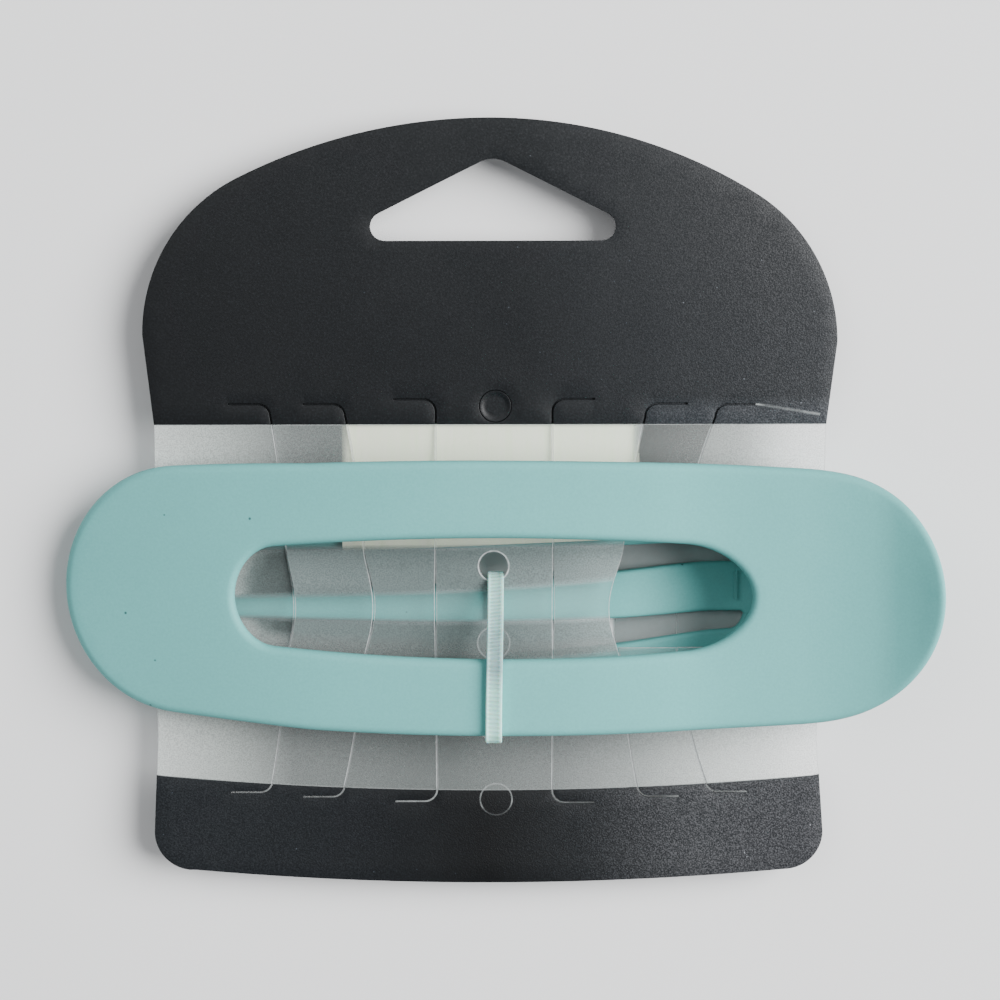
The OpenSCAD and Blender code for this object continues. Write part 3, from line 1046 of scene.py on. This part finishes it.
def strip_loops(index):
    """Outlines of one strip of the window: two where the hinge's opening cuts it in half."""
    def gap(y):
        return STRIP_GAP + BEND_GAP * bend(y)

    def left(y):
        return FILM_X - card_side(y, *LEFT_IN) if index == 0 else slit_x(index - 1, y) + gap(y)

    def right(y):
        return FILM_X + card_side(y, *RIGHT_IN) if index == len(SLITS) else slit_x(index, y) - gap(y)

    def side(edge, y0, y1):
        ys = np.linspace(y0, y1, max(3, int(abs(y1 - y0) / 0.8)))
        return [(edge(y), y) for y in ys]

    def foot_y(edge):
        y = FOOTER_Y
        for _ in range(6):
            y = footer_line(edge(y))
        return y

    top = HEADER_Y
    gap_top = CLIP_Y + GAP_HALF
    gap_low = CLIP_Y - GAP_HALF
    low_left, low_right = foot_y(left), foot_y(right)
    foot = [(x, footer_line(x)) for x in np.linspace(left(low_left), right(low_right), 12)][1:-1]
    if index < len(SLITS) - 1:
        return [side(left, top, low_left) + foot + side(right, low_right, top)]
    if index == len(SLITS) - 1:
        upper = side(left, top, gap_top) + side(right, gap_top, top)
        lower = side(left, gap_low, low_left) + foot + side(right, low_right, gap_low)
        return [upper, lower]
    notch = [(x, gap_top) for x in np.linspace(left(gap_top), GAP_X1, 14)][1:]
    notch += [(GAP_X1, y) for y in np.linspace(gap_top, gap_low, 14)][1:]
    notch += [(x, gap_low) for x in np.linspace(GAP_X1, left(gap_low), 14)][1:-1]
    return [side(left, top, gap_top) + notch + side(left, gap_low, low_left) + foot
            + side(right, low_right, top)]


def set_attribute(obj, name, values):
    """One number for each point of the mesh, which its material reads."""
    attribute = obj.data.attributes.new(name, "FLOAT", "POINT")
    attribute.data.foreach_set("value", values)


def make_film():
    """The window's strips, with where they lie on something or between the jaws, and the painted shade
    of strips turned from the light or lying in the slot's shade.
    """
    bm = bmesh.new()
    punched = [circle(CARD_MID_X, y, HOLE_R) for y in (HOLE_Y, TIE_HOLE_Y)]
    for index, bulge in enumerate(BULGES):
        height = strip_height(bulge)
        for loop in strip_loops(index):
            plate(bm, resample(loop, 0.7, keep=40), punched if index == MIDDLE_STRIP else [],
                  lambda x, y: height(x, y) + FILM_T - FILM_INSET,
                  lambda x, y: height(x, y) + FILM_INSET,
                  edge=0.1, spacing=1.5, steps=1, edge_index=1)
    film = new_object("window_film", bm, [FILM, SLIT_EDGE])
    places = [(v.co.x / MM, v.co.y / MM) for v in film.data.vertices]
    jaw = [resample(oval_loop(LOWER, LOWER_LEAN), 1.0)] + [window_loop(side) for side in (-1, 1)]
    xs, ys = np.array(places).T
    upper = ys > CLIP_Y
    # Painted shade: the sixth and last strips' upper parts, and the strips in the slot, where the clip
    # shades them.
    sixth = upper & (xs > slit_x(4, ys)) & (xs < slit_x(5, ys))
    last = upper * (xs > slit_x(5, ys)) * np.clip((36 - xs) / 10, 0, LAST_DIMMED)
    slot = np.clip(depth_inside(places, [resample(oval_loop(SLOT), 1.0)]) / SLOT_FADE, 0, 1)
    slot_shade = slot * np.where(xs < slit_x(0, ys), FIRST_SLOT_SHADE, np.where(upper, 0.0, LOWER_SLOT_SHADE))
    set_attribute(film, "contact", np.maximum(depth_inside(places, jaw), depth_inside(places, [LABEL])))
    set_attribute(film, "between", slot)
    set_attribute(film, "turned", np.maximum(np.maximum(sixth * TURNED_AWAY, last), slot_shade))
    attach(film, "upper")
    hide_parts("card_window")


def make_hidden_strips():
    """The right-hand strips where they run behind the lower jaw, as seen through its windows."""
    bm = bmesh.new()
    start = GAP_X0 - 1
    cut = slit_x(5, CLIP_Y) + 0.4
    half_cut = 0.04
    end = WINDOW["x1"]
    inset = 0.35
    low_z, high_z = 0.05, 0.3
    for side in (-1, 1):
        window = [(min(x, end - 0.3), y) for x, y in shifted(window_loop(side), -inset)]
        stretches = [(start, cut - half_cut), (cut + half_cut, end)] if side < 0 else [(start, end)]
        for x0, x1 in stretches:
            piece = [(min(max(x, x0), x1), y) for x, y in window if x0 - 0.8 < x < x1 + 0.8]
            plate(bm, resample(piece, 0.6, keep=40), [], flat(high_z), flat(low_z),
                  edge=0.05, spacing=1.5, steps=1)
    strips = new_object("window_film_behind_jaw", bm, [FILM])
    points = len(strips.data.vertices)
    # Painted shade: these strips take the full dimming of a turned strip, for the shade under the jaws.
    set_attribute(strips, "turned", [TURNED_AWAY] * points)
    set_attribute(strips, "contact", [HALF_CONTACT] * points)
    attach(strips, "lower")


def make_label():
    bm = bmesh.new()
    plate(bm, resample(LABEL, 0.8, keep=40), [], flat(FILM_Z - 0.03), flat(FILM_Z - 0.19),
          edge=0.03, spacing=2.0, steps=1)
    label = new_object("label_sheet", bm, [PAPER])
    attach(label, "upper")
    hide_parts("back_label")


def whitened_verts(bm, points, strength):
    """New points, given as (x, y, z, share of the strength)."""
    layer = bm.verts.layers.float.get("whitened") or bm.verts.layers.float.new("whitened")
    made = []
    for x, y, z, share in points:
        vert = bm.verts.new((x * MM, y * MM, z * MM))
        vert[layer] = share * strength
        made.append(vert)
    return made


# Whitened lines in section: each side's and the middle's height above the card, and share of white
PROUD = ((-0.01, 0), (0.03, 1), (-0.01, 0))


def ridge(bm, x, y, z, r, strength, foot_share=1.0):
    """A whitened ring that stands just proud of the card, weaker at its foot by the share there."""
    section = [(d, *proud) for d, proud in zip((-RIM_W / 2, 0, RIM_W / 2), PROUD)]
    turns = all_round(64)
    fade = [foot_share + (1 - foot_share) * smooth((math.sin(a) + 1) / 0.8) for a in turns]
    rings = [whitened_verts(bm, [(x + (r + d) * math.cos(a), y + (r + d) * math.sin(a), z + h, share * f)
                                 for a, f in zip(turns, fade)], strength) for d, h, share in section]
    join_rings(bm, rings)


def ribbon(bm, path, width, strengths, z=CARD_TOP):
    """A narrow ribbon along a path on the card, with its share of whitening at both ends."""
    sides = shifted(path, width / 2, closed=False), path, shifted(path, -width / 2, closed=False)
    rows = []
    for i, points in enumerate(zip(*sides)):
        t = i / (len(path) - 1)
        strength = strengths[0] * (1 - t) + strengths[1] * t
        across = [(x, y, z + h, share) for (x, y), (h, share) in zip(points, PROUD)]
        rows.append(whitened_verts(bm, across, strength))
    for a, b in zip(rows, rows[1:]):
        for i in range(2):
            bm.faces.new((a[i], a[i + 1], b[i + 1], b[i]))


# How the lower end of each slit is whitened: its width, and its strength at the print line and
# at the end. The last two are whitened round their hooks only.
FOOT_MARKS = [(0.3, (0.3, 0.05)), (0.3, (0.32, 0.12)), (0.3, (0.5, 0.32)), (0.28, (0.2, 0.05)),
              (0.26, (0.0, 0.35)), (0.26, (0.0, 0.16))]
WHOLE_MARKS = 4

# The crease in the header that runs from the last slit's upper hook
CREASE_END = (41.4, 11.5)


def make_whitened_edges():
    """Where the plastic is whitened: the slits' lower ends, and a crease from the last upper one."""
    bm = bmesh.new()
    for index, (width, strengths) in enumerate(FOOT_MARKS):
        path = slit_end(index, footer_line, False)
        ribbon(bm, path if index < WHOLE_MARKS else path[-5:], width, strengths)
    x, y = slit_end(len(SLITS) - 1, header_line, True)[-1]
    ribbon(bm, line((x - 0.3, y), (x + 1.2, y - 0.15), 0.3), 0.34, (0.85, 0.1))
    ribbon(bm, line((x, y), CREASE_END, 0.6), 0.55, (0.08, 0.4))
    marks = new_object("whitened_edges", bm, [WHITENED])
    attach(marks, "upper")


def make_slit_shade_strips():
    """Strips of print, not whitened, under the cuts in the header's print and round its mark: painted
    shade that keeps the cuts dark.
    """
    bm = bmesh.new()
    cuts = [arc(MARK_X, HEADER_MARK_Y, MARK_R + 0.04, 0, 360, 48)]
    cuts += [slit_end(index, header_line, True) for index in range(len(SLITS))]
    # Each strip is painted shade: dark print laid under a cut where the shaded floor beneath would show.
    for path in cuts:
        ribbon(bm, path, 0.4, (0, 0), FILM_Z + 0.03)
    shade_strips = new_object("header_slit_shade_strips", bm, [PRINT])
    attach(shade_strips, "upper")


def make_punch_marks():
    """Half-punched round marks: a printed disc in the header, and whitened rims elsewhere."""
    window_z = CARD_TOP + BULGES[MIDDLE_STRIP] * 0.93
    hole_z = CARD_TOP + BULGES[MIDDLE_STRIP] * 0.98

    def dished(x, y):
        inward = MARK_R - math.hypot(x - MARK_X, y - HEADER_MARK_Y)
        return CARD_TOP - 0.03 - 0.2 * smooth(inward / 0.7)

    bm = bmesh.new()
    plate(bm, circle(MARK_X, HEADER_MARK_Y, MARK_R, 64), [], dished, flat(FILM_Z - 0.05),
          edge=0.05, spacing=0.25, steps=3)
    pressed = new_object("punch_mark_header", bm, [PRINT])
    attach(pressed, "upper")
    bm = bmesh.new()
    ridge(bm, MARK_X, FOOTER_MARK_Y, CARD_TOP, MARK_RIM_R, strength=0.36, foot_share=0.22)
    ridge(bm, CARD_MID_X, WINDOW_MARK_Y, window_z, MARK_RIM_R, strength=0.35)
    ridge(bm, CARD_MID_X, HOLE_Y, hole_z, HOLE_R + 0.05, strength=1.0)
    rings = new_object("punch_mark_rings", bm, [WHITENED])
    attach(rings, "upper")


# The tie

def round_corners(corners, r):
    """The closed path through the corners, with each corner turned by a smooth curve."""
    steps = 6
    path = []
    n = len(corners)
    for i, p in enumerate(corners):
        a, b = corners[i - 1], corners[(i + 1) % n]
        d0 = min(r, (a - p).length * 0.45)
        d1 = min(r, (b - p).length * 0.45)
        start = p + (a - p).normalized() * d0
        end = p + (b - p).normalized() * d1
        for k in range(steps + 1):
            t = k / steps
            path.append(start * (1 - t) ** 2 + p * 2 * t * (1 - t) + end * t * t)
    return path


def even_path(path, step):
    """The closed path again at even steps."""
    closed = path + path[:1]
    lengths = [0.0]
    for a, b in zip(closed, closed[1:]):
        lengths.append(lengths[-1] + (b - a).length)
    n = int(lengths[-1] / step)
    made = []
    k = 0
    for i in range(n):
        at = lengths[-1] * i / n
        while lengths[k + 1] < at:
            k += 1
        t = (at - lengths[k]) / max(1e-9, lengths[k + 1] - lengths[k])
        made.append(closed[k].lerp(closed[k + 1], t))
    return made


def make_tie():
    """The ribbed strap round the near rail and through the card, and its head under the card."""
    x = CARD_MID_X
    rail_z = CREST_Z - 0.2
    half = TIE_T / 2
    low = FILM_Z - 0.25 - half
    high = rail_z + TIE_GAP + half
    rail_y = CLIP_Y - SLOT["wide"] / 2
    far = TIE_HOLE_Y - half + 0.1
    corners = [Vector((x, HOLE_Y - 1.3, low)), Vector((x, HOLE_Y - 1.3, FILM_Z + 1.4)),
               Vector((x, rail_y + 0.55, high)), Vector((x, far + 0.1, high)), Vector((x, far, low))]
    path = even_path(round_corners(corners, 1.2), TIE_STEP)
    bm = bmesh.new()
    rings = []
    n = len(path)
    side = Vector((1, 0, 0))
    w = TIE_W / 2
    rim = bm.verts.layers.float.new("rim")
    for i, p in enumerate(path):
        out = (path[(i + 1) % n] - path[i - 1]).normalized().cross(side)
        rib = RIB_DEPTH * (0.5 - 0.5 * math.cos(2 * math.pi * i / RIB_STEPS))
        lean = TIE_LEAN * smooth((p.y - far) / (HOLE_Y - far))
        profile = [(-w, -half * 0.6), (-w * 0.8, -half), (w * 0.8, -half), (w, -half * 0.6),
                   (w, half * 0.6), (w * 0.88, half), (w * 0.72, half), (w * 0.5, half - rib),
                   (-w * 0.5, half - rib), (-w * 0.72, half), (-w * 0.88, half), (-w, half * 0.6)]
        rings.append([bm.verts.new((p + side * (a + lean) + out * b) * MM) for a, b in profile])
        for vert, (a, _) in zip(rings[-1], profile):
            vert[rim] = abs(a) > w * 0.7
    join_rings(bm, rings + rings[:1])
    head = box(x - HEAD_W / 2, x + HEAD_W / 2, far - half, far - half + HEAD_LEN)
    plate(bm, resample(head, 0.4), [], flat(low - half + 0.05), flat(low - half - HEAD_H),
          edge=0.35, spacing=0.8, steps=3)
    tie = new_object("tie_strap", bm, [NYLON], angle=35)
    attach(tie, "upper")
    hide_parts("zip_tie")


make_upper_jaw()
make_lower_jaw()
make_spring()
make_print()
make_film()
make_hidden_strips()
make_label()
make_punch_marks()
make_whitened_edges()
make_slit_shade_strips()
make_tie()
finish_pin()
